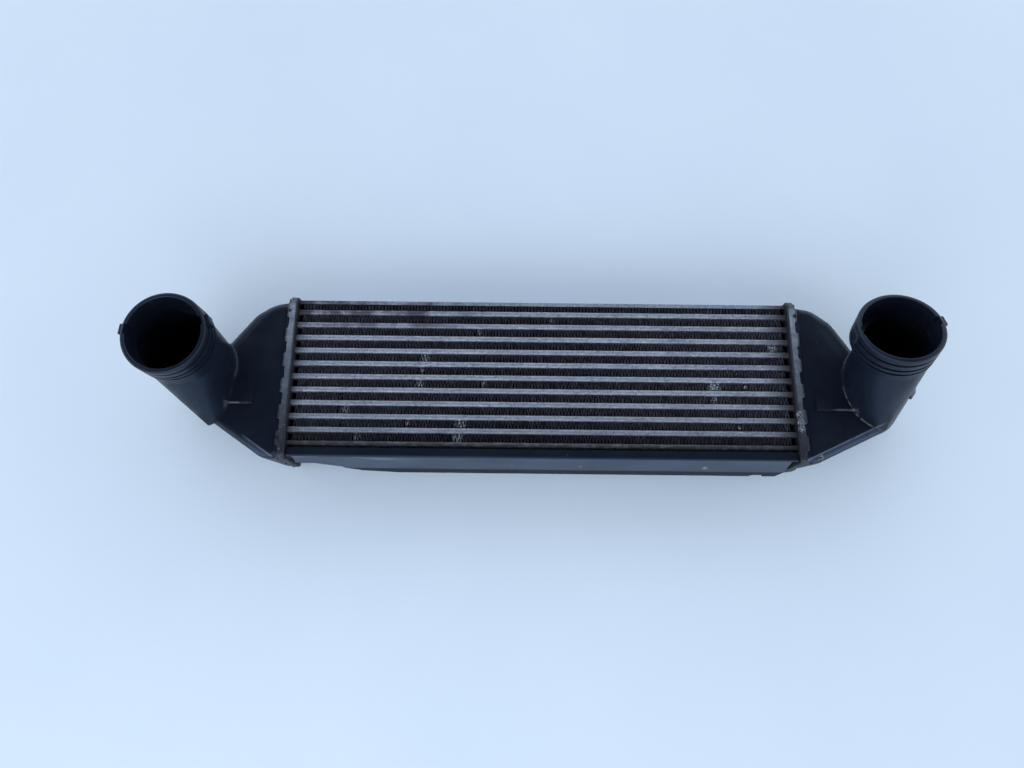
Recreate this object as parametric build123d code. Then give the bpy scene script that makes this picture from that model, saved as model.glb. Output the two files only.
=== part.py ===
"""Charge air cooler of a car engine: brazed aluminium core with crimped plastic end tanks.

The cooler lies on its back. X runs along the tubes, Y across the stack of tubes, and Z up
through the depth of the core, the way the cooling air goes. The origin is on the floor
under the middle of the core. All sizes are in millimetres.
"""
import os
from math import cos, radians, sin

from build123d import *

# ---- core ----------------------------------------------------------------------------
CORE_LENGTH = 515.0        # between the inner faces of the two header plates
TUBE_COUNT = 11
TUBE_PITCH = 14.1
TUBE_THICKNESS = 6.3
TUBE_DEPTH = 52.0
TUBE_WALL = 0.5
TUBE_NOSE = 1.9            # bevel of a tube's two narrow edges
TUBE_STICK_OUT = 6.5       # how far a tube end reaches past the header's inner face
FIN_SHEET = 0.3
FIN_WAVES = 16
FIN_END_GAP = 5.0          # bare tube between a fin and the header
FIN_SETBACK = 0.5          # the fins are this much shallower than the tubes, each side
TURBULATOR_WAVES = 4
TURBULATOR_SHEET = 0.3
TURBULATOR_END_GAP = 4.0
SIDE_PLATE_THICKNESS = 1.2
SIDE_PLATE_LIP = 2.4       # the plate's edges fold in this far over the fins

# ---- header plates and gaskets -------------------------------------------------------
HEADER_HEIGHT = 173.4      # across the stack, Y
HEADER_SHIFT = -0.8        # the plate sits this far off the stack's middle, in Y
HEADER_DEPTH = 66.0        # Z
HEADER_RIM = 8.0           # X, from the inner face to the rim between the tabs
HEADER_REACH = 11.0        # X, from the inner face to the outside of the folded tabs
HEADER_SHEET = 1.5
HEADER_CORNER = 7.0
TAB_LIP = 3.6              # how far a tab folds in over the tank's foot
TAB_WIDTH = 14.6
TAB_PITCH = 27.3
TAB_COUNT = 6              # along each long edge, and END_TAB_COUNT along each short one
END_TAB_COUNT = 2
TAB_SHIFT = 1.35           # the row of tabs sits this far off the stack's middle, in Y
GASKET_THICKNESS = 2.6
GASKET_WIDTH = 3.4
SEAT_CLEARANCE = 0.1
SEAT_BEVEL = 4.7           # corners of the gasket and the tank's foot

# ---- end tanks -----------------------------------------------------------------------
TANK_WALL = 3.0
TANK_TOP = 64.5
TANK_BOTTOM = 1.5
TANK_WAIST = 55.0          # below this height the walls lean in
WALL_DRAFT = 6.0           # degrees
TANK_START = 269.7         # |X| where the body swells out past the folded tabs
NEAR_HALF = 87.0
FAR_HALF = 79.5
THROAT_HALF_HEIGHT = 80.0  # the throat passes through the ring of folded tabs
THROAT_HALF_DEPTH = 28.6
THROAT_WALL = 2.2
SHOULDER_RADIUS = 9.0
CORNER_RADIUS = 14.0
ELBOW_FLOOR = 2.0          # the elbow starts this far up its axis, with a bevelled edge
ELBOW_BEVEL = 8.0
NECK_OVERLAP = 3.0         # the elbow's top is buried this deep in the collar
COLLAR_RADIUS = 39.0
BORE_RADIUS = 34.6
COLLAR_LENGTH = 26.0
COLLAR_FLOOR = 3.0         # the ledge inside the collar, where it meets the neck
GROOVE_DEPTH = 1.8
GROOVE_WIDTH = 2.6
GROOVES = (7.0, 15.2)      # from the rim to each groove
RAMP_HEIGHT = 2.4          # a ramp stiffens the top where the neck rises from it
LUG_WIDTH = 10.0
LUG_LENGTH = 11.0
LUG_STANDOFF = 3.2
LUG_CHAMFER = 2.0
LUG_DROP = 13.5            # from the rim to the lug's lower end

# Each tank by |X| and Y, from the header outwards: the corners of its near and far walls,
# the middle of the elbow at the waist, the elbow's axis from the floor to the collar, its
# radius, the rim's middle, the direction in which the rim faces, where round the collar its
# two lugs stand (degrees), and the ramp beside the neck: from X to X, its high edge and its
# low edge in Y.
LEFT_TANK = dict(
    near=((281, -87), (344, -44.5), (353, -33)),
    far=((325, 34), (301, 65.5), (283, 77)),
    middle=(352.0, 4.5),
    axis=((353.6, -1.0, 0.0), (349.5, 12.0, 129.5)),
    elbow_radius=37.0,
    rim=(349.5, 12.0, 155.5),
    facing=(0.0, 0.0, 1.0),
    lugs=(5, 160),
    ramp=(294.0, 325.0, -32.0, -5.0),
)
RIGHT_TANK = dict(
    near=((277, -86), (346, -53.5), (352, -46)),
    far=((325, 30), (304, 62.5), (284, 77)),
    middle=(346.0, -2.5),
    axis=((353.8, -19.2, 0.0), (336.2, 18.7, 121.8)),
    elbow_radius=34.0,
    rim=(330.0, 28.2, 146.6),
    facing=(-0.11, 0.28, 0.954),
    lugs=(10, 184),
    ramp=(278.0, 320.0, -33.0, -7.0),
)

# ---- air guide rail ------------------------------------------------------------------
RAIL_SHEET = 2.2
RAIL_FLANGE_EDGE = 75.6    # |Y| of the flange's inner edge
RAIL_FOLD = 84.0           # |Y| where the flange turns down
RAIL_FOLD_INSIDE = 82.8
RAIL_SKIRT = 91.8          # |Y| of the upright skirt
RAIL_SKIRT_TOP = 35.0
RAIL_SKIRT_FOOT = 7.0
RAIL_END_GAP = 1.0
RAIL_SKIRT_END = 250.5     # |X| where the shoulder and skirt stop, short of the flange
RAIL_CUTAWAY = ((-258, 47), (-231, 45), (-205, 38), (-187, 19), (-150, RAIL_SKIRT_FOOT))
RAIL_NOTCH = (230.0, 14.0, 9.0, 4.0)   # middle, width, height and corner of the skirt's notch

CORE_MIDDLE = HEADER_DEPTH / 2
CORE_TOP = CORE_MIDDLE + TUBE_DEPTH / 2
CORE_BOTTOM = CORE_MIDDLE - TUBE_DEPTH / 2
FIN_HEIGHT = TUBE_PITCH - TUBE_THICKNESS
STACK_HALF = TUBE_PITCH * (TUBE_COUNT - 1) / 2 + TUBE_THICKNESS / 2 + FIN_HEIGHT
HEADER_FACE = CORE_LENGTH / 2
FOOT_INNER = HEADER_FACE + HEADER_SHEET + GASKET_THICKNESS
TAB_START = HEADER_FACE + HEADER_REACH - HEADER_SHEET
FOOT_THICKNESS = TAB_START - FOOT_INNER
LIP_BOTTOM = CORE_TOP - FIN_SETBACK    # the side plates' lips lie on the fins' edges
LIP_TOP = LIP_BOTTOM + SIDE_PLATE_THICKNESS
ON_TOP = (Align.CENTER, Align.CENTER, Align.MIN)
UNDER = (Align.CENTER, Align.CENTER, Align.MAX)


def across(x):
    """A section plane square to the tubes: its own x is Y and its own y is Z."""
    return Plane.YZ.offset(x)


def save(node, solid):
    solid.label = node
    export_step(solid, f"parts/{node}.step")


# ---- tubes ---------------------------------------------------------------------------
def tube_outline(wall=0.0):
    outline = Rectangle(TUBE_THICKNESS - 2 * wall, TUBE_DEPTH - 2 * wall)
    return chamfer(outline.vertices(), TUBE_NOSE - wall / 2)


def tube_y(number):
    return TUBE_PITCH * ((TUBE_COUNT + 1) / 2 - number)


def charge_air_tube(number):
    """A flat extruded tube, open at both ends, pushed through both header plates."""
    reach = HEADER_FACE + TUBE_STICK_OUT
    ring = tube_outline() - tube_outline(TUBE_WALL)
    return extrude(across(-reach) * Pos(tube_y(number), CORE_MIDDLE) * ring, 2 * reach)


def wave_face(length, height, sheet, waves):
    """A zigzag strip of sheet, crest to crest, centred on the local origin."""
    step = length / (2 * waves)
    half = height / 2
    top = []
    for i in range(2 * waves + 1):
        y = half if i % 2 == 0 else -half + sheet
        top.append((-length / 2 + i * step, y))
    bottom = [(x, y - sheet) for x, y in reversed(top)]
    return make_face(Polyline(*top, *bottom, close=True))


def turbulator(number):
    """The folded strip inside a tube, which mixes the charge air."""
    inner_height = TUBE_THICKNESS - 2 * TUBE_WALL
    strip = wave_face(TUBE_DEPTH - TUBE_THICKNESS, inner_height, TURBULATOR_SHEET, TURBULATOR_WAVES)
    reach = HEADER_FACE - TURBULATOR_END_GAP
    place = across(-reach) * Pos(tube_y(number), CORE_MIDDLE) * Rot(0, 0, 90)
    return extrude(place * strip, 2 * reach)


def air_fin(row):
    """The corrugated strip brazed between two tubes; cooling air goes through its folds."""
    length = CORE_LENGTH - 2 * FIN_END_GAP
    y = tube_y(row) + TUBE_PITCH / 2
    strip = wave_face(length, FIN_HEIGHT, FIN_SHEET, FIN_WAVES)
    depth = TUBE_DEPTH - 2 * FIN_SETBACK
    return extrude(Plane.XY.offset(CORE_BOTTOM + FIN_SETBACK) * Pos(0, y) * strip, depth)


def side_plate(side):
    """The channel that closes the stack: a web with both edges folded in over the outer fin."""
    web = Box(CORE_LENGTH, SIDE_PLATE_THICKNESS, 2 * (LIP_TOP - CORE_MIDDLE))
    plate = Pos(0, side * (STACK_HALF + SIDE_PLATE_THICKNESS / 2), CORE_MIDDLE) * web
    lip = Box(CORE_LENGTH, SIDE_PLATE_LIP, SIDE_PLATE_THICKNESS)
    height = (LIP_BOTTOM + LIP_TOP) / 2 - CORE_MIDDLE
    for end in (-1, 1):
        plate += Pos(0, side * (STACK_HALF - SIDE_PLATE_LIP / 2), CORE_MIDDLE + end * height) * lip
    return plate


# ---- header plates -------------------------------------------------------------------
def header_outline(shrink=0.0):
    height, depth = HEADER_HEIGHT - 2 * shrink, HEADER_DEPTH - 2 * shrink
    return Pos(HEADER_SHIFT, 0) * RectangleRounded(height, depth, HEADER_CORNER - shrink)


def slab(face, near, far):
    """A section drawn round the core's centre line, between two distances along +X."""
    return extrude(across(near) * Pos(0, CORE_MIDDLE) * face, far - near)


def header_plate():
    """The slotted tray that the tubes are brazed into, with its rim of folded tabs."""
    inner_face = HEADER_FACE + HEADER_SHEET
    rim = HEADER_FACE + HEADER_RIM
    outer_face = TAB_START + HEADER_SHEET
    tray = slab(header_outline(), HEADER_FACE, rim)
    tray -= slab(header_outline(HEADER_SHEET), inner_face, rim)
    crown = slab(header_outline(), rim, outer_face)
    crown -= slab(header_outline(HEADER_SHEET), rim, TAB_START)
    crown -= slab(header_outline(TAB_LIP), TAB_START, outer_face)
    tabs = []
    for i in range(TAB_COUNT):
        y = TAB_SHIFT + TAB_PITCH * (i - (TAB_COUNT - 1) / 2)
        tabs.append(slab(Pos(y, 0) * Rectangle(TAB_WIDTH, HEADER_DEPTH), rim, outer_face))
    for i in range(END_TAB_COUNT):
        z = TAB_PITCH * (i - (END_TAB_COUNT - 1) / 2)
        tabs.append(slab(Pos(HEADER_SHIFT, z) * Rectangle(HEADER_HEIGHT, TAB_WIDTH), rim, outer_face))
    slots = [
        slab(Pos(tube_y(n), 0) * tube_outline(), HEADER_FACE - 1, inner_face + 1)
        for n in range(1, TUBE_COUNT + 1)
    ]
    return tray + [crown & tab for tab in tabs] - slots


def seat_outline(shrink=0.0):
    """What fits inside the tray: the gasket and the tank's foot, with bevelled corners."""
    inset = 2 * (HEADER_SHEET + SEAT_CLEARANCE + shrink)
    outline = Rectangle(HEADER_HEIGHT - inset, HEADER_DEPTH - inset)
    return Pos(HEADER_SHIFT, 0) * chamfer(outline.vertices(), SEAT_BEVEL)


def tank_gasket():
    """The rubber ring squeezed between the header plate and the tank's foot."""
    ring = seat_outline() - seat_outline(GASKET_WIDTH)
    return slab(ring, HEADER_FACE + HEADER_SHEET, FOOT_INNER)


# ---- end tanks -----------------------------------------------------------------------
def is_at(vertex, places):
    return any(abs(vertex.X - x) < 0.01 and abs(vertex.Y - y) < 0.01 for x, y in places)


def tank_plan(form, start=TANK_START):
    """The tank seen from above, from the folded tabs out to the middle of the elbow."""
    corners = [(start, -NEAR_HALF), *form["near"], form["middle"], *form["far"]]
    return make_face(Polyline(*corners, (start, FAR_HALF), close=True))


def rounded_plan(form):
    plan = tank_plan(form)
    rounded = [form["near"][0], form["far"][1]]
    return fillet([v for v in plan.vertices() if is_at(v, rounded)], CORNER_RADIUS)


def tank_body(form):
    """The boxy part of the tank: a rounded shoulder above the waist, leaning walls below."""
    plan = rounded_plan(form)
    upper = extrude(Pos(0, 0, TANK_WAIST) * plan, TANK_TOP - TANK_WAIST)
    rim = upper.edges().filter_by_position(Axis.Z, TANK_TOP - 0.01, TANK_TOP + 0.01)
    elbow_side = form["middle"][0] - CORNER_RADIUS
    rim = [e for e in rim if TANK_START + 0.1 < e.center().X < elbow_side]
    upper = fillet(rim, SHOULDER_RADIUS)
    lower = extrude(Pos(0, 0, TANK_WAIST) * plan, TANK_BOTTOM - TANK_WAIST, taper=WALL_DRAFT)
    return upper + lower


def tank_room(form):
    """The space inside the tank's body, open towards the throat."""
    plan = offset(tank_plan(form, TANK_START - TANK_WALL - 1), -TANK_WALL)
    ceiling = Pos(0, 0, TANK_TOP - TANK_WALL) * plan
    upper = extrude(ceiling, TANK_WAIST - TANK_TOP + TANK_WALL)
    depth = TANK_BOTTOM + TANK_WALL - TANK_WAIST
    return upper + extrude(Pos(0, 0, TANK_WAIST) * plan, depth, taper=WALL_DRAFT)


def elbow(form, wall=0.0):
    """The round turn from the tank up to the collar, or its inside; the underside is flat."""
    foot, top = [Vector(*point) for point in form["axis"]]
    up = (top - foot).normalized()
    axis = Plane(origin=foot, x_dir=Vector(0, 1, 0).cross(up), z_dir=up)
    start = ELBOW_FLOOR + (ELBOW_BEVEL if wall else 0)
    height = (top - foot).length + NECK_OVERLAP - start + (COLLAR_FLOOR if wall else 0)
    round_body = Cylinder(form["elbow_radius"] - wall, height, align=ON_TOP)
    if not wall:
        round_body = chamfer(round_body.edges().sort_by(Axis.Z)[0], ELBOW_BEVEL)
    below = Box(4 * COLLAR_RADIUS, 4 * COLLAR_RADIUS, COLLAR_RADIUS, align=UNDER)
    floor = Pos(foot.X, foot.Y, TANK_BOTTOM + wall) * below
    return axis.offset(start) * round_body - floor


def rim_plane(form, drop=0.0):
    """A plane square to the collar, a given distance down from the rim."""
    facing = Vector(*form["facing"]).normalized()
    side = Vector(0, 1, 0).cross(facing)
    return Plane(origin=Vector(*form["rim"]) - facing * drop, x_dir=side, z_dir=facing)


def collar(form):
    """The hose connection: a sleeve with two grooves for the seal and clip, and two lugs."""
    edge = [(COLLAR_RADIUS, 0)]
    for drop in GROOVES:
        edge.append((COLLAR_RADIUS, -drop))
        edge.append((COLLAR_RADIUS - GROOVE_DEPTH, -drop - GROOVE_WIDTH / 2))
        edge.append((COLLAR_RADIUS, -drop - GROOVE_WIDTH))
    edge.append((COLLAR_RADIUS, -COLLAR_LENGTH))
    section = make_face(Polyline((0, 0), *edge, (0, -COLLAR_LENGTH), close=True))
    sleeve = rim_plane(form) * revolve(Plane.XZ * section, Axis.Z)
    for turn in form["lugs"]:
        lug = Box(2 * LUG_STANDOFF, LUG_WIDTH, LUG_LENGTH, align=ON_TOP)
        lug = chamfer(lug.edges().filter_by(Axis.X), LUG_CHAMFER)
        sleeve += rim_plane(form, LUG_DROP) * Rot(0, 0, turn) * Pos(COLLAR_RADIUS, 0) * lug
    return sleeve


def ramp(form):
    """The low ramp on the tank's top beside the neck, highest at its near edge."""
    start, end, high, low = form["ramp"]
    section = Polyline((high, TANK_TOP), (low, TANK_TOP), (high, TANK_TOP + RAMP_HEIGHT), close=True)
    return extrude(across(start) * make_face(section), end - start)


def throat(wall, start, end):
    height, depth = THROAT_HALF_HEIGHT - wall, THROAT_HALF_DEPTH - wall
    return slab(Pos(HEADER_SHIFT, 0) * Rectangle(2 * height, 2 * depth), start, end)


def end_tank(form):
    """One moulded shell: foot, throat, body, elbow and collar, hollow all through."""
    shell = slab(seat_outline(), FOOT_INNER, FOOT_INNER + FOOT_THICKNESS)
    shell += throat(0, FOOT_INNER, TANK_START + 1)
    shell += tank_body(form)
    shell += ramp(form)
    shell += elbow(form)
    shell += collar(form)
    bore_length = COLLAR_LENGTH - COLLAR_FLOOR
    bore = extrude(rim_plane(form, bore_length) * Circle(BORE_RADIUS), bore_length + 1)
    passage = throat(THROAT_WALL, FOOT_INNER - 1, TANK_START)
    return shell - [tank_room(form), passage, elbow(form, TANK_WALL), bore]


# ---- air guide rail ------------------------------------------------------------------
def air_guide_rail():
    """A plastic strip along the near side: flange over the last fin, leaning shoulder, skirt."""
    outer = [(RAIL_FLANGE_EDGE, LIP_TOP + RAIL_SHEET), (RAIL_FOLD, LIP_TOP + RAIL_SHEET)]
    outer += [(RAIL_SKIRT, RAIL_SKIRT_TOP), (RAIL_SKIRT, RAIL_SKIRT_FOOT)]
    inner = [(RAIL_SKIRT - RAIL_SHEET, RAIL_SKIRT_FOOT), (RAIL_SKIRT - RAIL_SHEET, RAIL_SKIRT_TOP)]
    inner += [(RAIL_FOLD_INSIDE, LIP_TOP), (RAIL_FLANGE_EDGE, LIP_TOP)]
    section = make_face(Polyline(*[(-y, z) for y, z in outer + inner], close=True))
    reach = HEADER_FACE - RAIL_END_GAP
    rail = extrude(across(-reach) * section, 2 * reach)
    for side in (-1, 1):
        stub = Box(2 * (HEADER_FACE - RAIL_SKIRT_END), RAIL_FOLD_INSIDE, LIP_TOP, align=ON_TOP)
        rail -= Pos(side * HEADER_FACE, -1.5 * RAIL_FOLD_INSIDE, 0) * stub
    below = [*RAIL_CUTAWAY, (RAIL_CUTAWAY[-1][0], 0), (RAIL_CUTAWAY[0][0], 0)]
    cutaway = extrude(Plane.XZ.offset(STACK_HALF) * make_face(Polyline(*below, close=True)), RAIL_SKIRT)
    middle, width, height, corner = RAIL_NOTCH
    notch = Pos(middle, -RAIL_SKIRT, RAIL_SKIRT_FOOT) * Box(width, 4 * RAIL_SHEET, 2 * height)
    return rail - cutaway - fillet(notch.edges().filter_by(Axis.Y), corner)


if __name__ == "__main__":
    os.makedirs("parts", exist_ok=True)
    for n in range(1, TUBE_COUNT + 1):
        save(f"charge_air_tube_{n:02d}", charge_air_tube(n))
        save(f"turbulator_{n:02d}", turbulator(n))
    for row in range(1, TUBE_COUNT + 2):
        save(f"air_fin_{row:02d}", air_fin(row))
    save("upper_side_plate", side_plate(1))
    save("lower_side_plate", side_plate(-1))
    save("right_header_plate", header_plate())
    save("left_header_plate", mirror(header_plate(), Plane.YZ))
    save("right_tank_gasket", tank_gasket())
    save("left_tank_gasket", mirror(tank_gasket(), Plane.YZ))
    save("right_end_tank", end_tank(RIGHT_TANK))
    save("left_end_tank", mirror(end_tank(LEFT_TANK), Plane.YZ))
    save("air_guide_rail", air_guide_rail())
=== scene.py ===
"""Looks of a charge air cooler that lies on its back: worn aluminium core, black moulded tanks."""
import math

import bmesh
import bpy
from mathutils import Matrix, Vector


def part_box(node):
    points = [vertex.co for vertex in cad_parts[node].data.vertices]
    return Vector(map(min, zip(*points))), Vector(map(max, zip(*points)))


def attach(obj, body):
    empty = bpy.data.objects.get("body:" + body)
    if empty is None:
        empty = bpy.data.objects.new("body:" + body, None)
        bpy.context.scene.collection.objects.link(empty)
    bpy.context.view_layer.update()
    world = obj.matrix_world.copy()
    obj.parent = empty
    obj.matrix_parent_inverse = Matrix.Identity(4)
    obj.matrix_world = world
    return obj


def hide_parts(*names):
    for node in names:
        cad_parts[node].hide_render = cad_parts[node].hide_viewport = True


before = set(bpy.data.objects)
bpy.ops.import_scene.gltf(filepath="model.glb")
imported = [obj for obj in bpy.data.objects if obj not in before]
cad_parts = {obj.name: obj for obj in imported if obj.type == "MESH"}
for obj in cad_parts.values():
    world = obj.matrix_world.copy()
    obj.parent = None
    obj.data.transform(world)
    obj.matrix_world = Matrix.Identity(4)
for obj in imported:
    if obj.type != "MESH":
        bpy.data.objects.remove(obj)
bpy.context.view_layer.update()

MM = 0.001

# ---- Charge air tubes ----------------------------------------------------------------
# Eleven flat tubes of extruded aluminium, brazed into the slots of both header plates.
# Their narrow edges are round, a little uneven, and dulled by oxide, with old stains.
TUBE_COUNT = 11
TUBE_WALL = 0.5 * MM
TUBE_RIPPLE = 0.25 * MM
TUBE_RIPPLE_LENGTH = 12 * MM
TUBE_CUTS = 110
NOSE_STEPS = 6
NOSE_FLAT = 0.05 * MM


def deselect():
    bpy.ops.object.select_all(action="DESELECT")


def activate(piece):
    """Makes a piece the only one selected, and the active one."""
    deselect()
    piece.select_set(True)
    bpy.context.view_layer.objects.active = piece


def pick(kind, test):
    """Selects the vertices, edges or faces of the mesh in edit mode for which test is true."""
    mesh = bmesh.from_edit_mesh(bpy.context.object.data)
    groups = {"vert": mesh.verts, "edge": mesh.edges, "face": mesh.faces}
    for group in groups.values():
        for item in group:
            item.select = False
    mesh.select_mode = {kind.upper()}
    for item in groups[kind]:
        if test(item):
            item.select = True
    mesh.select_flush_mode()
    bmesh.update_edit_mesh(bpy.context.object.data)
    bpy.context.tool_settings.mesh_select_mode = tuple(kind == other for other in groups)


def middle(item):
    """The middle of an edge or face."""
    total = Vector()
    for vertex in item.verts:
        total += vertex.co
    return total / len(item.verts)


def runs_along(edge, axis):
    """Whether an edge runs along X, Y or Z (0, 1 or 2)."""
    step = edge.verts[1].co - edge.verts[0].co
    return abs(step[axis]) > 0.99 * step.length


def block(name, low, high):
    """A cube stretched from one corner to the other, left in edit mode with nothing selected."""
    deselect()
    low, high = Vector(low), Vector(high)
    bpy.ops.mesh.primitive_cube_add(size=1, location=(low + high) / 2)
    piece = bpy.context.object
    piece.name = name
    piece.scale = high - low
    bpy.ops.object.transform_apply(location=True, rotation=True, scale=True)
    bpy.ops.object.mode_set(mode="EDIT")
    bpy.ops.mesh.select_all(action="DESELECT")
    return piece


def finish_edit():
    """Merges doubles, turns the faces outwards and leaves edit mode."""
    bpy.ops.mesh.select_all(action="SELECT")
    bpy.ops.mesh.remove_doubles(threshold=1e-6)
    bpy.ops.mesh.normals_make_consistent(inside=False)
    bpy.ops.object.mode_set(mode="OBJECT")


def apply_modifier(piece, kind, **settings):
    """Puts a modifier with these settings on a piece and applies it."""
    modifier = piece.modifiers.new(kind, kind)
    for key, value in settings.items():
        setattr(modifier, key, value)
    activate(piece)
    bpy.ops.object.modifier_apply(modifier=modifier.name)


def clouds(name, size, depth=2):
    texture = bpy.data.textures.new(name, "CLOUDS")
    texture.noise_scale = size
    texture.noise_depth = depth
    return texture


def shade(piece, degrees=35):
    """Shades a piece smooth, but for the edges that turn by more than this."""
    activate(piece)
    bpy.ops.object.shade_smooth_by_angle(angle=math.radians(degrees))


def copy_of(piece, name, shift):
    """Another piece of the same make, with a mesh of its own, moved in the mesh."""
    twin = piece.copy()
    twin.data = piece.data.copy()
    twin.name = name
    twin.data.transform(Matrix.Translation(Vector(shift)))
    bpy.context.scene.collection.objects.link(twin)
    return twin


def coat(piece, material):
    piece.data.materials.clear()
    piece.data.materials.append(material)


def hand_over(piece, node, material):
    """The piece stands for its node, rides on the cooler's one body and takes its finish."""
    coat(piece, material)
    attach(piece, "root")
    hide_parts(node)


class Finish:
    """A material under construction: short words for its nodes, on Object coordinates."""

    def __init__(self, name, **sockets):
        self.material = bpy.data.materials.new(name)
        self.material.use_nodes = True
        self.tree = self.material.node_tree
        self.shader = self.tree.nodes["Principled BSDF"]
        for key, value in sockets.items():
            self.shader.inputs[key.replace("_", " ")].default_value = value
        self.place = self.node("ShaderNodeTexCoord").outputs["Object"]

    def node(self, kind, **settings):
        made = self.tree.nodes.new(kind)
        for key, value in settings.items():
            setattr(made, key, value)
        return made

    def feed(self, socket, value):
        if isinstance(value, bpy.types.NodeSocket):
            self.tree.links.new(value, socket)
        else:
            socket.default_value = value

    def noise(self, scale, detail=4.0, stretch=(1, 1, 1)):
        """Noise with so many cells to the metre, stretched along an axis."""
        mapping = self.node("ShaderNodeMapping")
        self.feed(mapping.inputs["Vector"], self.place)
        mapping.inputs["Scale"].default_value = stretch
        made = self.node("ShaderNodeTexNoise")
        self.feed(made.inputs["Vector"], mapping.outputs["Vector"])
        made.inputs["Scale"].default_value = scale
        made.inputs["Detail"].default_value = detail
        made.inputs["Roughness"].default_value = 0.55
        return made.outputs["Fac"]

    def ramp(self, value, *stops):
        """Colour or grey by value, as (place, colour) stops."""
        made = self.node("ShaderNodeValToRGB")
        ramp = made.color_ramp
        while len(ramp.elements) < len(stops):
            ramp.elements.new(0.5)
        for element, (place, colour) in zip(ramp.elements, stops):
            element.position = place
            grey = isinstance(colour, (int, float))
            element.color = (colour, colour, colour, 1) if grey else (*colour, 1)
        self.feed(made.inputs["Fac"], value)
        return made.outputs["Color"]

    def math(self, operation, a, b=0.0):
        made = self.node("ShaderNodeMath", operation=operation)
        self.feed(made.inputs[0], a)
        self.feed(made.inputs[1], b)
        return made.outputs[0]

    def times(self, a, b):
        return self.math("MULTIPLY", a, b)

    def mix(self, share, a, b):
        """Colour a with a share of colour b over it."""
        made = self.node("ShaderNodeMix", data_type="RGBA")
        self.feed(made.inputs[0], share)
        self.feed(made.inputs[6], a if isinstance(a, bpy.types.NodeSocket) else (*a, 1))
        self.feed(made.inputs[7], b if isinstance(b, bpy.types.NodeSocket) else (*b, 1))
        return made.outputs[2]

    def axis(self, letter):
        split = self.node("ShaderNodeSeparateXYZ")
        self.feed(split.inputs[0], self.place)
        return split.outputs[letter]

    def between(self, value, low, high):
        """0 at low and below, 1 at high and above."""
        made = self.node("ShaderNodeMapRange")
        self.feed(made.inputs["Value"], value)
        made.inputs["From Min"].default_value = low
        made.inputs["From Max"].default_value = high
        return made.outputs["Result"]

    def near(self, point, reach):
        """1 at a point, falling to 0 at the reach."""
        made = self.node("ShaderNodeVectorMath", operation="DISTANCE")
        self.feed(made.inputs[0], self.place)
        made.inputs[1].default_value = point
        return self.between(made.outputs["Value"], reach, reach * 0.4)

    def bump(self, height, strength, distance):
        made = self.node("ShaderNodeBump")
        made.inputs["Strength"].default_value = strength
        made.inputs["Distance"].default_value = distance
        self.feed(made.inputs["Height"], height)
        self.feed(self.shader.inputs["Normal"], made.outputs["Normal"])

    def colour(self, value):
        self.feed(self.shader.inputs["Base Color"], value)

    def roughness(self, value):
        self.feed(self.shader.inputs["Roughness"], value)


def oxidised_aluminium():
    """Dull, pitted metal: stained far left, sooty near the rail and dark beside the headers."""
    finish = Finish("oxidised_aluminium", Metallic=0.5, Roughness=0.55)
    mottle = finish.noise(60, detail=6, stretch=(0.5, 1, 1))
    fine = finish.noise(700, detail=3, stretch=(0.35, 1, 1))
    metal = finish.ramp(mottle, (0.3, (0.150, 0.185, 0.262)), (0.7, (0.255, 0.305, 0.41)))
    metal = finish.mix(finish.between(fine, 0.48, 0.75), metal, (0.40, 0.45, 0.55))
    purple = finish.between(finish.noise(38, detail=3, stretch=(0.6, 1, 1)), 0.5, 0.66)
    metal = finish.mix(finish.times(purple, 0.25), metal, (0.15, 0.165, 0.30))
    pits = finish.between(finish.noise(420, detail=2), 0.44, 0.34)
    metal = finish.mix(finish.times(pits, 0.6), metal, (0.05, 0.06, 0.085))
    stain_patch = finish.ramp(finish.noise(26), (0.41, 0.0), (0.51, 1.0))
    stained_side = finish.times(finish.between(finish.axis("X"), -0.06, -0.12),
                                finish.between(finish.axis("Y"), 0.045, 0.06))
    stained_side = finish.times(stained_side, finish.between(finish.axis("Z"), 0.046, 0.055))
    stain = finish.times(stain_patch, stained_side)
    metal = finish.mix(finish.times(stain, 0.9), metal, (0.038, 0.034, 0.062))
    shadowed = finish.between(finish.axis("Y"), 0.02, -0.06)
    metal = finish.mix(finish.times(shadowed, 0.25), metal, (0.09, 0.10, 0.12))
    grime = finish.between(finish.axis("Y"), -0.055, -0.068)
    speckle = finish.between(finish.noise(330, stretch=(0.5, 1, 1)), 0.62, 0.46)
    grime = finish.times(grime, finish.math("ADD", finish.times(speckle, 0.27), 0.70))
    metal = finish.mix(finish.times(grime, 0.94), metal, (0.018, 0.018, 0.026))
    right_end = finish.between(finish.axis("X"), 0.228, 0.254)
    left_end = finish.between(finish.axis("X"), -0.244, -0.257)
    ends = finish.math("MAXIMUM", finish.times(right_end, 0.9), finish.times(left_end, 0.6))
    metal = finish.mix(ends, metal, (0.030, 0.034, 0.044))
    finish.colour(metal)
    finish.roughness(finish.ramp(mottle, (0.2, 0.62), (0.8, 0.48)))
    finish.bump(finish.noise(1500, detail=3), 0.35, 0.0002)
    return finish.material


TUBE_METAL = oxidised_aluminium()

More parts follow.
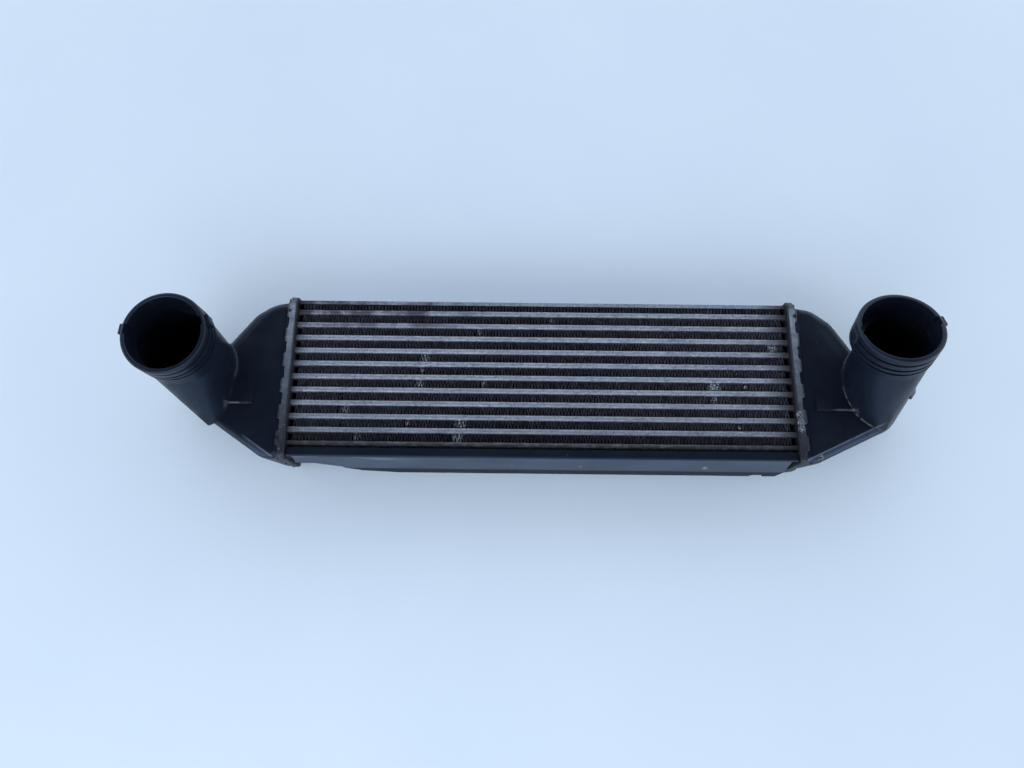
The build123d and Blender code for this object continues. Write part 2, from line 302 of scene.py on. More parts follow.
low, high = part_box("charge_air_tube_06")
nose = (high.y - low.y) / 2 - NOSE_FLAT
tube = block("tube", low, high)
pick("edge", lambda edge: runs_along(edge, 0))
bpy.ops.mesh.bevel(offset=nose, segments=NOSE_STEPS)
pick("face", lambda face: abs(face.normal.x) > 0.9)
bpy.ops.mesh.delete(type="ONLY_FACE")
pick("edge", lambda edge: runs_along(edge, 0))
bpy.ops.mesh.subdivide(number_cuts=TUBE_CUTS)
finish_edit()
apply_modifier(tube, "SOLIDIFY", thickness=TUBE_WALL, offset=-1)
for number in range(1, TUBE_COUNT + 1):
    node = f"charge_air_tube_{number:02d}"
    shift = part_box(node)[0].y - low.y
    copied = copy_of(tube, "tube_" + node[-2:], (0, shift, 0))
    apply_modifier(copied, "DISPLACE", texture=clouds("tube_ripple", TUBE_RIPPLE_LENGTH),
                   strength=TUBE_RIPPLE, texture_coords="LOCAL")
    shade(copied)
    hand_over(copied, node, TUBE_METAL)
bpy.data.objects.remove(tube)

# ---- Turbulators ---------------------------------------------------------------------
# A folded aluminium strip inside each tube, brazed to both walls. It stays clean and bright,
# because only filtered air goes through it.
def clean_metal():
    finish = Finish("turbulator_metal", Metallic=0.8, Roughness=0.4)
    finish.colour(finish.ramp(finish.noise(120), (0.3, (0.42, 0.44, 0.47)), (0.7, (0.58, 0.60, 0.63))))
    return finish.material


TURBULATOR_METAL = clean_metal()
for number in range(1, TUBE_COUNT + 1):
    coat(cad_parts[f"turbulator_{number:02d}"], TURBULATOR_METAL)

# ---- Air fins ------------------------------------------------------------------------
# A thin corrugated strip between every two tubes, folded by a star wheel and brazed crest by
# crest. Road dirt has darkened it, and painted shade darkens it further down the narrow channels,
# and stones have bent some of the folds and bared the metal.
FIN_WAVES = 146
FIN_SHEET = 0.20 * MM
FIN_CREST = 0.3 * MM
FIN_CREST_STEPS = 2
FIN_EDGE_BAND = 3.5 * MM
FIN_CROOKED = 0.9 * MM
FIN_CROOKED_LENGTH = 6 * MM
FIN_BEND = 0.9 * MM
FIN_BENT_EDGE = MM
# where stones hit: the row of fins, X, and how far along the row the damage goes
FIN_DENTS = (
    (5, -0.122, 0.007), (6, -0.124, 0.004), (7, -0.126, 0.005), (7, -0.060, 0.004), (3, -0.066, 0.004),
    (9, -0.202, 0.007), (10, -0.203, 0.002), (11, -0.187, 0.005), (10, -0.137, 0.003), (10, -0.083, 0.008),
    (11, -0.085, 0.007), (8, -0.205, 0.002), (8, -0.094, 0.002), (4, 0.241, 0.006), (7, 0.178, 0.009),
    (7, 0.210, 0.003), (8, 0.177, 0.005), (10, 0.201, 0.003), (6, 0.202, 0.002), (2, 0.010, 0.003),
)


def fin_metal():
    """Dirt and painted shade: dark on the faces, darker deeper down the channels, paler at the fins' top
    edges, with bared metal where a stone hit.
    """
    finish = Finish("fin_metal_dirt_and_painted_shade", Metallic=0.25, Roughness=0.6)
    # Painted shade: darker down the deep channels between the fins, near black below 40 mm.
    depth = finish.between(finish.axis("Z"), 0.040, 0.0585)
    dirt = finish.noise(45, detail=5)
    # The faces below the top edge are dark with road dirt and with painted shade.
    face = finish.ramp(dirt, (0.35, (0.004, 0.005, 0.012)), (0.65, (0.017, 0.019, 0.038)))
    rim = finish.ramp(finish.noise(300), (0.35, (0.026, 0.030, 0.055)), (0.7, (0.17, 0.19, 0.27)))
    at_rim = finish.between(finish.axis("Z"), 0.0572, 0.0586)
    colour = finish.mix(at_rim, face, rim)
    colour = finish.mix(depth, (0.008, 0.008, 0.012), colour)
    muddy = finish.between(finish.axis("Y"), -0.045, -0.07)
    colour = finish.mix(finish.times(muddy, 0.6), colour, (0.010, 0.009, 0.012))
    for row, x, reach in FIN_DENTS:
        lowest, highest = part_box(f"air_fin_{row:02d}")
        spot = finish.near((x, (lowest.y + highest.y) / 2, highest.z), reach)
        scrape = finish.times(spot, finish.between(finish.noise(650), 0.48, 0.54))
        colour = finish.mix(scrape, colour, (0.70, 0.80, 0.95))
    finish.colour(colour)
    return finish.material


FIN_METAL = fin_metal()


def extrude(shift):
    """Extrudes what is selected and moves the new end, which stays selected."""
    bpy.ops.mesh.extrude_region_move(TRANSFORM_OT_translate={"value": shift})


def draw(name, points, closed=False):
    """A line through points, drawn by extruding one corner of a small plane from point to point."""
    deselect()
    bpy.ops.mesh.primitive_plane_add(size=MM)
    line = bpy.context.object
    line.name = name
    bpy.ops.object.mode_set(mode="EDIT")
    pick("vert", lambda vertex: vertex.co.x > 0 or vertex.co.y > 0)
    bpy.ops.mesh.delete(type="VERT")
    bpy.ops.mesh.select_all(action="SELECT")
    at = Vector((-MM / 2, -MM / 2, 0))
    for number, point in enumerate(points):
        step = Vector(point) - at
        if number:
            bpy.ops.mesh.extrude_vertices_move(TRANSFORM_OT_translate={"value": step})
        else:
            bpy.ops.transform.translate(value=step)
        at = Vector(point)
    if closed:
        pick("vert", lambda vertex: len(vertex.link_edges) < 2)
        bpy.ops.mesh.edge_face_add()
    return line


low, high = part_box("air_fin_06")
pitch = (high.x - low.x) / FIN_WAVES
crest = (high.y - low.y - FIN_SHEET) / 2
middle_y = (low.y + high.y) / 2
wave = []
for half, sign in ((0, -1), (1, 1)):
    start = low.x + half * pitch / 2
    for i in range(FIN_CREST_STEPS + 1):
        turn = i * math.pi / 2 / FIN_CREST_STEPS
        wave.append((start + FIN_CREST * math.sin(turn),
                     middle_y + sign * (crest - FIN_CREST * (1 - math.cos(turn))), low.z))
    for i in range(FIN_CREST_STEPS):
        turn = (FIN_CREST_STEPS - i) * math.pi / 2 / FIN_CREST_STEPS
        wave.append((start + pitch / 2 - FIN_CREST * math.sin(turn),
                     middle_y - sign * (crest - FIN_CREST * (1 - math.cos(turn))), low.z))
wave.append((low.x + pitch, middle_y - crest, low.z))
fin = draw("fin", wave)
bpy.ops.mesh.select_all(action="SELECT")
for height in (high.z - low.z - FIN_EDGE_BAND, FIN_EDGE_BAND):
    extrude((0, 0, height))
bpy.ops.mesh.select_all(action="SELECT")
bpy.ops.mesh.normals_make_consistent(inside=False)
bpy.ops.object.mode_set(mode="OBJECT")
apply_modifier(fin, "ARRAY", count=FIN_WAVES, use_relative_offset=False, use_constant_offset=True,
               constant_offset_displace=(pitch, 0, 0), use_merge_vertices=True, merge_threshold=0.01 * MM)
apply_modifier(fin, "SOLIDIFY", thickness=FIN_SHEET, offset=0)
for row in range(1, TUBE_COUNT + 2):
    node = f"air_fin_{row:02d}"
    copied = copy_of(fin, "fin_" + node[-2:], (0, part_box(node)[0].y - low.y, 0))
    apply_modifier(copied, "DISPLACE", texture=clouds("fin_crooked", FIN_CROOKED_LENGTH),
                   strength=FIN_CROOKED, direction="X", texture_coords="LOCAL")
    edge_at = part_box(node)[1].z - FIN_BENT_EDGE
    for x, reach in [dent[1:] for dent in FIN_DENTS if dent[0] == row]:
        activate(copied)
        bpy.ops.object.mode_set(mode="EDIT")
        pick("vert", lambda vertex: vertex.co.z > edge_at and abs(vertex.co.x - x) < reach)
        bpy.ops.transform.translate(value=(FIN_BEND, 0, -FIN_BEND))
        bpy.ops.object.mode_set(mode="OBJECT")
    shade(copied, 50)
    hand_over(copied, node, FIN_METAL)
bpy.data.objects.remove(fin)

# ---- Side plates ---------------------------------------------------------------------
# A plain strip of the same sheet closes each long side of the stack. The upper one shows as
# a thin bright line, and the lower one is under the rail.
for node in ("upper_side_plate", "lower_side_plate"):
    coat(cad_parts[node], TUBE_METAL)

# ---- Header plates -------------------------------------------------------------------
# A tray pressed from thicker sheet, slotted for the tubes. Its rim has tabs that were
# crimped over the tank's foot, so the rim is lumpy and marked by the tool.
HEADER_SHEET = 1.5 * MM
HEADER_CORNER = 7 * MM
HEADER_RIM = 7.4 * MM
TAB_COUNT = 6
END_TAB_COUNT = 2
TAB_PITCH = 27.3 * MM
TAB_WIDTH = 14.6 * MM
TAB_SHIFT = 1.35 * MM
TAB_LIP = 3.6 * MM
TAB_SHORT = 0.8 * MM
HEADER_GRAIN = 0.9 * MM
HEADER_DENTS = 1.7 * MM
HEADER_DENT_LENGTH = 6 * MM
HEADER_SMOOTHING = 5
EXACTLY = 0.01 * MM


def header_metal():
    """Duller and darker towards the near side, outside the rim, in the slots and at the corners."""
    finish = Finish("header_metal", Metallic=0.5, Roughness=0.5)
    mottle = finish.noise(110, detail=6)
    metal = finish.ramp(mottle, (0.3, (0.10, 0.135, 0.195)), (0.7, (0.25, 0.315, 0.42)))
    grime = finish.between(finish.axis("Y"), 0.06, -0.07)
    metal = finish.mix(finish.times(grime, 0.95), metal, (0.011, 0.016, 0.031))
    speck = finish.between(finish.noise(420, detail=2), 0.68, 0.74)
    metal = finish.mix(finish.times(speck, 0.6), metal, (0.42, 0.46, 0.55))
    distance = finish.math("ABSOLUTE", finish.axis("X"))
    metal = finish.mix(finish.between(distance, 0.2600, 0.2586), metal, (0.012, 0.015, 0.024))
    outside = finish.between(finish.math("ADD", distance, finish.between(finish.noise(170), 0, 400)),
                             0.2662, 0.2676)
    metal = finish.mix(finish.times(outside, 0.75), metal, (0.020, 0.026, 0.042))
    far_end = finish.between(finish.axis("Y"), 0.0735, 0.0815)
    metal = finish.mix(finish.times(far_end, 0.85), metal, (0.014, 0.018, 0.032))
    for place in ((-0.2652, 0.069, 0.066), (0.2652, 0.0685, 0.066), (-0.2652, -0.0665, 0.066)):
        metal = finish.mix(finish.near(place, 0.0028), metal, (0.006, 0.007, 0.012))
    for place in ((0.2598, -0.037, 0.0665), (0.2605, -0.045, 0.0665), (0.2612, -0.052, 0.0665)):
        scuff = finish.near(place, 0.0045)
        scuff = finish.times(scuff, finish.between(finish.noise(500), 0.44, 0.54))
        metal = finish.mix(finish.times(scuff, 0.8), metal, (0.32, 0.37, 0.47))
    finish.colour(metal)
    finish.roughness(finish.ramp(mottle, (0.3, 0.62), (0.7, 0.45)))
    finish.bump(finish.noise(500), 0.6, 0.0006)
    return finish.material


HEADER_METAL = header_metal()


def combine(piece, other, operation):
    """Joins another closed piece to this one, or cuts it out, and removes the other."""
    apply_modifier(piece, "BOOLEAN", operation=operation, object=other, solver="EXACT")
    bpy.data.objects.remove(other)


def tab_middles(axis):
    """Where the tabs stand along the plate's long sides (axis 1) or short sides (axis 2)."""
    low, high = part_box("right_header_plate")
    centre = TAB_SHIFT if axis == 1 else (low.z + high.z) / 2
    count = TAB_COUNT if axis == 1 else END_TAB_COUNT
    return [centre + TAB_PITCH * (i - (count - 1) / 2) for i in range(count)]


def header(node, side):
    """One header plate; side is 1 on the right and -1 on the left."""
    low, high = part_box(node)
    inner, reach = (low.x, high.x) if side > 0 else (high.x, low.x)
    rim = inner + side * HEADER_RIM
    reach -= side * TAB_SHORT
    plate = block(node, (min(inner, rim), low.y, low.z), (max(inner, rim), high.y, high.z))
    pick("edge", lambda edge: runs_along(edge, 0))
    bpy.ops.mesh.bevel(offset=HEADER_CORNER, segments=5)
    pick("face", lambda face: face.normal.x * side > 0.9)
    bpy.ops.mesh.inset(thickness=HEADER_SHEET)
    extrude((side * (HEADER_SHEET - HEADER_RIM), 0, 0))
    for axis in (1, 2):
        normal = (0, 1, 0) if axis == 1 else (0, 0, 1)
        for place in tab_middles(axis):
            for end in (-1, 1):
                edge_at = place + end * TAB_WIDTH / 2
                bpy.ops.mesh.select_all(action="SELECT")
                bpy.ops.mesh.bisect(plane_co=(0, edge_at, edge_at), plane_no=normal)

    def in_tab(face):
        point = middle(face)
        if abs(point.x - rim) > EXACTLY or face.normal.x * side < 0.9:
            return False
        on_end = min(abs(point.y - low.y), abs(point.y - high.y)) < HEADER_SHEET
        axis = 2 if on_end else 1
        return any(abs(point[axis] - place) < TAB_WIDTH / 2 for place in tab_middles(axis))

    pick("face", in_tab)
    extrude((reach - rim - side * HEADER_SHEET, 0, 0))
    extrude((side * HEADER_SHEET, 0, 0))
    for axis in (1, 2):
        for wall, inward in ((low[axis] + HEADER_SHEET, 1), (high[axis] - HEADER_SHEET, -1)):
            pick("face", lambda face: face.normal[axis] * inward > 0.9
                 and abs(middle(face)[axis] - wall) < EXACTLY
                 and abs(middle(face).x - (reach - side * HEADER_SHEET / 2)) < EXACTLY)
            fold = Vector((0, 0, 0))
            fold[axis] = inward * (TAB_LIP - HEADER_SHEET)
            extrude(fold)
    finish_edit()
    for number in range(1, TUBE_COUNT + 1):
        slot_low, slot_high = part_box(f"charge_air_tube_{number:02d}")
        hole = block("slot", (-MM, slot_low.y, slot_low.z), (MM, slot_high.y, slot_high.z))
        pick("edge", lambda edge: runs_along(edge, 0))
        bpy.ops.mesh.bevel(offset=nose, segments=NOSE_STEPS)
        pick("vert", lambda vertex: True)
        bpy.ops.transform.translate(value=(inner + side * HEADER_SHEET / 2, 0, 0))
        finish_edit()
        combine(plate, hole, "DIFFERENCE")
    apply_modifier(plate, "REMESH", mode="VOXEL", voxel_size=HEADER_GRAIN)
    apply_modifier(plate, "SMOOTH", factor=0.5, iterations=HEADER_SMOOTHING)
    apply_modifier(plate, "DISPLACE", texture=clouds("crimping", HEADER_DENT_LENGTH, 3),
                   strength=HEADER_DENTS, mid_level=0.55, texture_coords="LOCAL")
    shade(plate, 60)
    hand_over(plate, node, HEADER_METAL)


header("right_header_plate", 1)
header("left_header_plate", -1)

# ---- Tank gaskets --------------------------------------------------------------------
# A square-cut rubber ring, squeezed between each header plate and the foot of its tank.
def gasket_rubber():
    finish = Finish("gasket_rubber", Roughness=0.7)
    finish.colour(finish.ramp(finish.noise(200), (0.3, 0.010), (0.7, 0.022)))
    return finish.material


GASKET_RUBBER = gasket_rubber()
for node in ("right_tank_gasket", "left_tank_gasket"):
    coat(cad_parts[node], GASKET_RUBBER)

# ---- End tanks -----------------------------------------------------------------------
# Hollow shells moulded from glass-filled nylon: a foot under the header's tabs, a boxy body,
# and an elbow welded on, which turns up into a collar with three grooves and two clip lugs.
WALL = 3.0 * MM
TANK_START = 269.7 * MM    # X where the boxy part begins
TANK_TOP = 64.5 * MM
TANK_BOTTOM = 1.5 * MM
TANK_WAIST = 55.0 * MM     # Z below which the walls lean in
DRAFT = math.radians(6)
NEAR_HALF = 87.0 * MM
FAR_HALF = 79.5 * MM
SHOULDER = 9 * MM
SHOULDER_STEPS = 6
CORNER = 6 * MM
CORNER_REACH = 4 * MM
ELBOW_FLOOR = 2 * MM
ELBOW_BEVEL = 8 * MM
NECK_OVERLAP = 3 * MM
COLLAR_RADIUS = 39 * MM
BORE_RADIUS = 34.6 * MM
COLLAR_LENGTH = 26 * MM
COLLAR_FLOOR = 3 * MM
RIM_ROUND = 2.3 * MM
RIM_STEPS = 5
BORE_ROUND = 0.6 * MM
GROOVE_SLOPE = 0.5 * MM
GROOVE_DEPTH = 1.8 * MM
GROOVE_WIDTH = 2.6 * MM
GROOVES = (7.0 * MM, 15.2 * MM, 21.4 * MM)
LUG_WIDTH = 10 * MM
LUG_LENGTH = 11 * MM
LUG_STANDOFF = 3.2 * MM
LUG_DROP = 13.5 * MM
LUG_BEVEL = 1.2 * MM
HEADER_SHIFT = -0.8 * MM
CORE_MIDDLE = 33 * MM
FOOT_INNER = 261.6 * MM
FOOT_THICKNESS = 5.4 * MM
SEAT_HALF_HEIGHT = 85.1 * MM
SEAT_HALF_DEPTH = 31.4 * MM
SEAT_BEVEL = 4.7 * MM
THROAT_HALF_HEIGHT = 80 * MM
THROAT_HALF_DEPTH = 28.6 * MM
THROAT_WALL = 2.2 * MM
RAMP_HEIGHT = 2.0          # the ramp's sizes are in millimetres, like the outlines below
RAMP_ROOT = 3
RAMP_EDGE = (1.5, 0.8)
FLARE_STEPS = 24
FLARE_TOP = 112 * MM
FLARE_ROOT = 4 * MM
FLARE_INSET = 0.1 * MM
ROUND_STEPS = 96
BOSS_ROOT = 4 * MM
BOSS_REACH = 2.2 * MM
BOSS_HALF_WIDTH = 6 * MM
BOSS_HEIGHT = 10 * MM
BOSS_SLOPE = 3 * MM
BOSS_BEVEL = 1.5 * MM
WINDOW_WIDTH = 9 * MM
WINDOW_DEPTH = 1.5 * MM
WINDOW_DROP = 8 * MM
WINDOW_ROOT = 2 * MM
MOULD_GRAIN = 1.5 * MM


def black_plastic(name):
    """The moulded nylon of the tanks and the rail, and the colour to add wear to."""
    finish = Finish(name, Roughness=0.4)
    finish.shader.inputs["Specular IOR Level"].default_value = 0.36
    # Painted reflection: the specular tint is blue, so the plastic's reflections take the blue of a clear
    # sky.
    finish.shader.inputs["Specular Tint"].default_value = (0.42, 0.62, 1.0, 1)
    dust = finish.noise(22, detail=5)
    plastic = finish.ramp(dust, (0.35, (0.0028, 0.0044, 0.0095)), (0.7, (0.0052, 0.0078, 0.0155)))
    scuffs = finish.between(finish.noise(260, detail=3, stretch=(1, 0.4, 1)), 0.66, 0.72)
    scuffs = finish.times(scuffs, finish.between(finish.noise(30), 0.54, 0.64))
    plastic = finish.mix(finish.times(scuffs, 0.5), plastic, (0.05, 0.06, 0.085))
    finish.roughness(finish.ramp(finish.noise(70), (0.3, 0.33), (0.7, 0.47)))
    finish.bump(finish.noise(900, detail=3), 0.12, 0.0003)
    return finish, plastic


def weld_line(finish, plastic, form, place):
    """The pale, broken line round the near half of the neck's spread foot."""
    x, y, height = place
    middle_x, middle_y, half_x, half_y, power = form["flare"]
    across = finish.math("SUBTRACT", finish.times(x, form["side"] / MM), middle_x)
    along = finish.math("SUBTRACT", finish.math("DIVIDE", y, MM), middle_y)
    across = finish.math("POWER", finish.math("ABSOLUTE", finish.math("DIVIDE", across, half_x)), power)
    along = finish.math("POWER", finish.math("ABSOLUTE", finish.math("DIVIDE", along, half_y)), power)
    off = finish.math("ABSOLUTE", finish.math("SUBTRACT", finish.math("ADD", across, along), 1.03))
    line = finish.times(finish.between(off, 0.035, 0.012), finish.between(height, 0.063, 0.0645))
    line = finish.times(line, finish.between(height, 0.0672, 0.0664))
    line = finish.times(line, finish.between(y, -0.002, -0.026))
    broken = finish.between(finish.noise(240, detail=3), 0.38, 0.5)
    worn = finish.times(finish.times(line, broken), form["seam_wear"])
    return finish.mix(worn, plastic, (0.15, 0.155, 0.18))


def ramp_rub(finish, plastic, form, place):
    """The rubbed near edge of the ramp."""
    y, height = place[1:]
    edge_y = form["ramp"][2]
    at = (form["rub"] * form["side"] * MM, edge_y * MM, TANK_TOP + RAMP_HEIGHT * MM)
    edge = finish.times(finish.near(at, 0.014),
                        finish.between(y, (edge_y + 1.9) * MM, (edge_y + 1.1) * MM))
    edge = finish.times(edge, finish.between(height, 0.0652, 0.0656))
    rubbed = finish.between(finish.noise(300, detail=3, stretch=(0.3, 1.5, 1)), 0.36, 0.5)
    return finish.mix(finish.times(edge, rubbed), plastic, (0.075, 0.080, 0.095))


def painted_shoulder_highlight(finish, plastic, form, place):
    """Painted highlight: a band along the rounded top of the near wall, where it reflects the sky, with a
    brighter line at its edge.
    """
    x, y, height = place
    (near_x, near_y), (far_x, far_y) = form["walls"][0]
    length = math.hypot(far_x - near_x, far_y - near_y)
    outward = ((far_y - near_y) / length, (near_x - far_x) / length)
    outside = finish.math("ADD", finish.times(x, outward[0] * form["side"]), finish.times(y, outward[1]))
    wall_at = (near_x * outward[0] + near_y * outward[1]) * MM
    band = finish.times(finish.between(outside, wall_at - 0.0086, wall_at - 0.0078),
                        finish.between(height, 0.0610, 0.0620))
    highlight_from, highlight_full = form["highlight_end"]
    band = finish.times(band, finish.between(finish.math("ABSOLUTE", x), highlight_from * MM, highlight_full * MM))
    band = finish.times(band, finish.between(finish.times(x, form["side"]), 0.0, 0.1))
    streaky = finish.between(finish.noise(90), 0.2, 0.5)
    plastic = finish.mix(finish.times(band, streaky), plastic, (0.023, 0.034, 0.064))
    # Painted highlight: the brighter line at the edge of the band.
    bead = finish.times(band, finish.between(outside, wall_at - 0.0062, wall_at - 0.0072))
    return finish.mix(finish.times(bead, streaky), plastic, (0.085, 0.11, 0.165))


def tank_plastic():
    """Black plastic with wear at the weld, the ramp and three corners, and a painted highlight along the
    near shoulder.
    """
    finish, plastic = black_plastic("moulded_black_plastic")
    place = [finish.axis(letter) for letter in "XYZ"]
    for form in (LEFT_TANK, RIGHT_TANK):
        # Wear at the weld and the ramp, and a painted highlight along the near shoulder.
        for wear_and_highlight in (weld_line, ramp_rub, painted_shoulder_highlight):
            plastic = wear_and_highlight(finish, plastic, form, place)
    for corner, reach in (((0.372, -0.022, 0.072), 0.004), ((0.352, -0.052, 0.060), 0.003),
                          ((0.278, -0.080, 0.062), 0.004)):
        rub = finish.near(corner, reach)
        rub = finish.times(rub, finish.between(finish.noise(500), 0.42, 0.55))
        plastic = finish.mix(rub, plastic, (0.20, 0.215, 0.25))
    finish.colour(plastic)
    return finish.material


# each tank's form, in millimetres for the right side, which side then puts on its own: the walls
# from near to far, the neck's axis and rim, the turns of its lugs, the ramp and the spread foot
LEFT_TANK = dict(
    side=-1,
    walls=(((281, -87), (344, -44.5)), ((344, -44.5), (353, -33)),
           ((325, 34), (301, 65.5)), ((301, 65.5), (283, 77)), ((283, 77), (269.7, 79.5))),
    end=353, axis=((353.6, -1.0, 0.0), (349.5, 12.0, 129.5)), elbow_radius=37.0,
    rim=(349.5, 12.0, 155.5), facing=(0.0, 0.0, 1.0), lugs=(5, 160),
    ramp=(294.0, 325.0, -32.0, -5.0), rub=310.0,
    flare=(352.0, -12.0, 35.4, 44.5, 2.6), flare_turn=(124, 246), flare_step=0.4 * MM,
    seam_wear=0.10, highlight_end=(303, 290),
)
RIGHT_TANK = dict(
    side=1,
    walls=(((277, -86), (346, -53.5)), ((346, -53.5), (352, -46)),
           ((325, 30), (304, 62.5)), ((304, 62.5), (284, 77)), ((284, 77), (269.7, 79.5))),
    end=352, axis=((353.8, -19.2, 0.0), (336.2, 18.7, 121.8)), elbow_radius=34.0,
    rim=(330.0, 28.2, 146.6), facing=(-0.11, 0.28, 0.954), lugs=(10, 184),
    ramp=(278.0, 320.0, -33.0, -7.0), rub=307.0,
    flare=(353.0, -5.0, 44.5, 48.0, 2.0), flare_turn=(132, 260), flare_step=0.8 * MM,
    seam_wear=1.0, highlight_end=(344, 334), boss=(-38.8, 66.0),
)
BLACK_PLASTIC = tank_plastic()


def in_frame(form, point):
    """A point of a tank's form, given in millimetres for the right side, in the cooler's frame."""
    return Vector((form["side"] * point[0], point[1], point[2])) * MM


def side_block(form, name, near, far):
    """A block between two corners given for the right side, put on the tank's own side."""
    xs = sorted((form["side"] * near[0], form["side"] * far[0]))
    return block(name, (xs[0], near[1], near[2]), (xs[1], far[1], far[2]))


def cut_off(point, outward):
    """Bisects off what lies beyond a plane and closes the cut."""
    bpy.ops.mesh.select_all(action="SELECT")
    bpy.ops.mesh.bisect(plane_co=point, plane_no=outward, use_fill=True, clear_outer=True)


def cut_by_wall(form, start, end, inset, lean):
    """Bisects off what lies outside one wall, which stands upright or leans in below the waist."""
    a, b = in_frame(form, (*start, 0)), in_frame(form, (*end, 0))
    outward = Vector((b.y - a.y, a.x - b.x, 0)).normalized() * form["side"]
    a -= outward * inset
    a.z = TANK_WAIST
    outward = outward * math.cos(lean) - Vector((0, 0, 1)) * math.sin(lean)
    cut_off(a, outward)


def tank_block(form, name, inset, start):
    """The boxy part of a tank, or its inside when inset by the wall."""
    body = side_block(form, name, (start, -NEAR_HALF + inset, TANK_BOTTOM + inset),
                      (form["end"] * MM - inset, FAR_HALF - inset, TANK_TOP - inset))
    for wall in form["walls"]:
        for lean in (0, DRAFT):
            cut_by_wall(form, *wall, inset, lean)
    return body


def rounded_block(form, name):
    """The tank's boxy body with round corners, and a round shoulder raised step by step."""
    body = tank_block(form, name, 0, TANK_START - 2 * SHOULDER)
    corners = [wall[1] for wall in form["walls"][:-1]] + [form["walls"][0][0]]

    def at_corner(edge):
        if abs(edge.verts[0].co.z - edge.verts[1].co.z) < MM:
            return False
        top = max(edge.verts, key=lambda vertex: vertex.co.z).co
        if top.z < TANK_WAIST - EXACTLY:
            return False
        return any((top.xy - in_frame(form, (*corner, 0)).xy).length < CORNER_REACH for corner in corners)

    pick("edge", at_corner)
    bpy.ops.mesh.bevel(offset=CORNER, segments=4, clamp_overlap=True)
    cut_off((0, 0, TANK_TOP - SHOULDER), (0, 0, 1))
    bpy.ops.mesh.select_all(action="SELECT")
    bpy.ops.mesh.remove_doubles(threshold=0.5 * MM)
    pick("face", lambda face: face.normal.z > 0.9)
    step = math.pi / 2 / SHOULDER_STEPS
    for i in range(SHOULDER_STEPS):
        across = SHOULDER * (math.cos(i * step) - math.cos((i + 1) * step))
        up = SHOULDER * (math.sin((i + 1) * step) - math.sin(i * step))
        bpy.ops.mesh.extrude_region_move()
        bpy.ops.transform.translate(value=(0, 0, up))
        bpy.ops.mesh.inset(thickness=across)
    cut_off((form["side"] * TANK_START, 0, 0), (-form["side"], 0, 0))
    finish_edit()
    return body


def tilt(direction):
    """The turn that brings the upward direction to this one."""
    return Vector((0, 0, 1)).rotation_difference(direction).to_matrix().to_4x4()


def elbow_body(form, name, inset):
    """The round turn from the tank up to the collar, or its inside, cut flat below."""
    foot, top = [in_frame(form, point) for point in form["axis"]]
    up = (top - foot).normalized()
    start = ELBOW_FLOOR + (ELBOW_BEVEL if inset else 0)
    height = (top - foot).length + NECK_OVERLAP - start + (COLLAR_FLOOR if inset else 0)
    deselect()
    radius = form["elbow_radius"] * MM - inset
    bpy.ops.mesh.primitive_cylinder_add(vertices=ROUND_STEPS, radius=radius, depth=height)
    elbow = bpy.context.object
    elbow.name = name
    elbow.data.transform(Matrix.Translation(foot + up * (start + height / 2)) @ tilt(up))
    bpy.ops.object.mode_set(mode="EDIT")
    if not inset:
        pick("face", lambda face: face.normal.dot(up) < -0.9)
        bpy.ops.mesh.bevel(offset=ELBOW_BEVEL, segments=4)
    cut_off((0, 0, TANK_BOTTOM + inset), (0, 0, -1))
    finish_edit()
    return elbow


def seat(form, name, half_height, half_depth, start, end, corner):
    """A rounded slab across the back of a tank: its foot, its throat or the passage through them."""
    slab = side_block(form, name, (start, HEADER_SHIFT - half_height, CORE_MIDDLE - half_depth),
                      (end, HEADER_SHIFT + half_height, CORE_MIDDLE + half_depth))
    pick("edge", lambda edge: runs_along(edge, 0))
    bpy.ops.mesh.bevel(offset=corner, segments=5)
    finish_edit()
    return slab


def collar_cup():
    """The hose connection, spun round the upright axis: rim, bore, ledge and three grooves."""
    ledge = COLLAR_FLOOR - COLLAR_LENGTH
    outline = [(0, ledge), (BORE_RADIUS, ledge), (BORE_RADIUS, -BORE_ROUND), (BORE_RADIUS + BORE_ROUND, 0)]
    for i in range(RIM_STEPS + 1):
        turn = i * math.pi / 2 / RIM_STEPS
        outline.append((COLLAR_RADIUS - RIM_ROUND * (1 - math.sin(turn)), RIM_ROUND * (math.cos(turn) - 1)))
    for drop in GROOVES:
        outline += [(COLLAR_RADIUS, -drop), (COLLAR_RADIUS - GROOVE_DEPTH, -drop - GROOVE_SLOPE),
                    (COLLAR_RADIUS - GROOVE_DEPTH, -drop - GROOVE_WIDTH + GROOVE_SLOPE),
                    (COLLAR_RADIUS, -drop - GROOVE_WIDTH)]
    outline += [(COLLAR_RADIUS, -COLLAR_LENGTH), (0, -COLLAR_LENGTH)]
    cup = draw("collar", [(radius, 0, height) for radius, height in outline])
    bpy.ops.mesh.select_all(action="SELECT")
    bpy.ops.mesh.spin(steps=128, angle=2 * math.pi, center=(0, 0, 0), axis=(0, 0, 1))
    finish_edit()
    return cup


def place_on_collar(form, piece):
    """Moves a piece made round the upright axis, with the rim at zero, to the tank's collar."""
    facing = in_frame(form, form["facing"]).normalized()
    piece.data.transform(Matrix.Translation(in_frame(form, form["rim"])) @ tilt(facing))


def turn_round(form, piece, degrees):
    """Turns a piece round the collar's axis, the other way round on the left tank."""
    turn = math.radians(degrees if form["side"] > 0 else 180 - degrees)
    piece.data.transform(Matrix.Rotation(turn, 4, "Z"))


